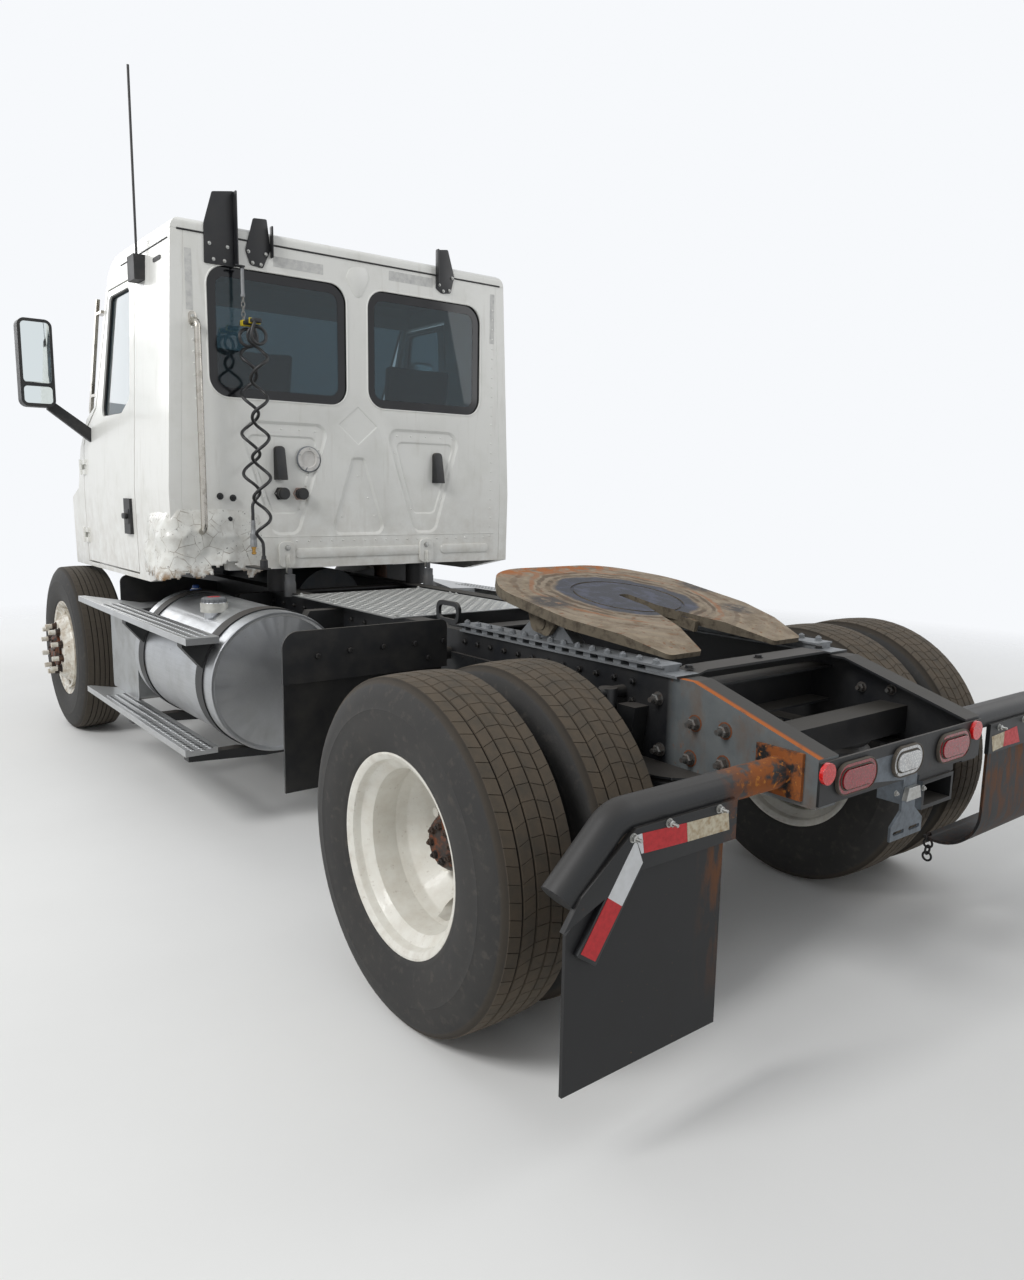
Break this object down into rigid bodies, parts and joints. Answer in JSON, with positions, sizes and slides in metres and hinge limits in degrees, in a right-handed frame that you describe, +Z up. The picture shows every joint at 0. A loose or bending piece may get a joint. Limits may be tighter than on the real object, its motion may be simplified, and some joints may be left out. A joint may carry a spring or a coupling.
{
  "type": "day-cab semi truck tractor unit",
  "caption": "Two-axle road tractor with a day cab, open front end, tilting fifth-wheel plate and twin driven wheels, for hauling semi-trailers.",
  "frame": {"origin": "on the ground under the middle of the bounding box", "axes": "+Z up, +Y towards the rear of the truck, +X towards the truck's left side"},
  "size_m": [2.77, 6.01, 3.5599],
  "materials": {
    "rail_black": "dusty satin",
    "lamp_red": "gloss",
    "hanger_black": "worn satin",
    "flap_rubber": "matt",
    "guard_black": "matt",
    "coupling_steel": "greasy",
    "tank_aluminium": "brushed",
    "strap_rubber": "matt",
    "step_aluminium": "satin",
    "tread_plate": "patterned",
    "axle_rust": "rusty",
    "suspension_black": "dusty",
    "engine_block": "satin",
    "radiator_core": "matt",
    "tank_plastic": "translucent",
    "cab_white": "gloss",
    "window_glass": "clear",
    "mount_rubber": "matt",
    "bright_steel": "polished",
    "seat_fabric": "woven",
    "dash_plastic": "grained",
    "tyre_rubber": "dusty",
    "cord_rubber": "satin",
    "wheel_white": "dirty"
  },
  "bodies": {
    "chassis": {"frame": "rail_black", "tail_plate": "rail_black", "tail_lamps": "lamp_red", "flap_hangers": "hanger_black", "mud_flaps": "flap_rubber", "splash_guards": "guard_black", "fifth_wheel_base": "coupling_steel", "fuel_tank": "tank_aluminium", "tank_straps": "strap_rubber", "steps": "step_aluminium", "side_boxes": "tread_plate", "deck_plates": "tread_plate", "drive_axle": "axle_rust", "rear_suspension": "suspension_black", "driveshaft": "axle_rust", "engine": "engine_block", "radiator": "radiator_core", "engine_fan": "guard_black", "engine_pipes": "bright_steel", "exhaust_pipe": "axle_rust", "air_cleaner": "guard_black", "surge_tank": "tank_plastic", "steering_gear": "axle_rust", "front_axle": "axle_rust", "cab_floor": "cab_white", "cab_frame": "cab_white", "cab_rear_wall": "cab_white", "cab_roof": "cab_white", "cab_glass": "window_glass", "cab_mounts": "mount_rubber", "wall_fittings": "guard_black", "handrails": "bright_steel", "hose_tender": "bright_steel", "antenna": "guard_black", "seats": "seat_fabric", "coil_line_1": "cord_rubber", "coil_line_2": "cord_rubber", "line_plugs": "bright_steel", "dashboard": "dash_plastic"},
    "door_left": {"door_left": "cab_white", "door_glass_left": "window_glass", "mirror_left": "guard_black"},
    "door_right": {"door_right": "cab_white", "door_glass_right": "window_glass", "mirror_right": "guard_black"},
    "coupling_plate": {"fifth_wheel_plate": "coupling_steel"},
    "steering_wheel": {"steering_wheel": "dash_plastic"},
    "knuckle_left": {"knuckle_left": "axle_rust"},
    "knuckle_right": {"knuckle_right": "axle_rust"},
    "tie_rod": {"tie_rod": "axle_rust"},
    "front_wheel_left": {"tyre_front_left": "tyre_rubber", "wheel_front_left": "wheel_white"},
    "front_wheel_right": {"tyre_front_right": "tyre_rubber", "wheel_front_right": "wheel_white"},
    "rear_wheels_left": {"tyres_rear_left": "tyre_rubber", "wheels_rear_left": "wheel_white"},
    "rear_wheels_right": {"tyres_rear_right": "tyre_rubber", "wheels_rear_right": "wheel_white"}
  },
  "joints": [
    {"name": "front_wheel_left_spin", "type": "hinge", "parent": "knuckle_left", "child": "front_wheel_left", "pos_m": [1.032, -2.045, 0.518], "axis": [1, 0, 0], "continuous": true},
    {"name": "front_wheel_right_spin", "type": "hinge", "parent": "knuckle_right", "child": "front_wheel_right", "pos_m": [-1.032, -2.045, 0.518], "axis": [1, 0, 0], "continuous": true},
    {"name": "rear_wheels_left_spin", "type": "hinge", "parent": "chassis", "child": "rear_wheels_left", "pos_m": [0.923, 2.145, 0.518], "axis": [1, 0, 0], "continuous": true},
    {"name": "rear_wheels_right_spin", "type": "hinge", "parent": "chassis", "child": "rear_wheels_right", "pos_m": [-0.923, 2.145, 0.518], "axis": [1, 0, 0], "continuous": true},
    {"name": "steer_left", "type": "hinge", "parent": "chassis", "child": "knuckle_left", "pos_m": [0.85, -2.045, 0.518], "axis": [0, 0, 1], "range_deg": [-45, 45]},
    {"name": "steer_right", "type": "hinge", "parent": "chassis", "child": "knuckle_right", "pos_m": [-0.85, -2.045, 0.518], "axis": [0, 0, 1], "range_deg": [-45, 45]},
    {"name": "tie_rod_pivot", "type": "hinge", "parent": "knuckle_left", "child": "tie_rod", "pos_m": [0.85, -1.855, 0.4], "axis": [0, 0, 1], "range_deg": [-45, 45]},
    {"name": "steering_wheel_turn", "type": "hinge", "parent": "chassis", "child": "steering_wheel", "pos_m": [0.5, -1.295, 1.76], "axis": [0, 0.4226, 0.9063], "range_deg": [-720, 720]},
    {"name": "door_left_hinge", "type": "hinge", "parent": "chassis", "child": "door_left", "pos_m": [1.042, -1.855, 1.5], "axis": [0, 0, -1], "range_deg": [0, 70]},
    {"name": "door_right_hinge", "type": "hinge", "parent": "chassis", "child": "door_right", "pos_m": [-1.042, -1.855, 1.5], "axis": [0, 0, 1], "range_deg": [0, 70]},
    {"name": "coupling_tilt", "type": "hinge", "parent": "chassis", "child": "coupling_plate", "pos_m": [0, 1.815, 1.092], "axis": [1, 0, 0], "range_deg": [0, 20]}
  ],
  "couplings": [
    {"joint": "steer_right", "follows": "steer_left", "ratio": 1},
    {"joint": "tie_rod_pivot", "follows": "steer_left", "ratio": -1},
    {"joint": "steering_wheel_turn", "follows": "steer_left", "ratio": 16}
  ]
}
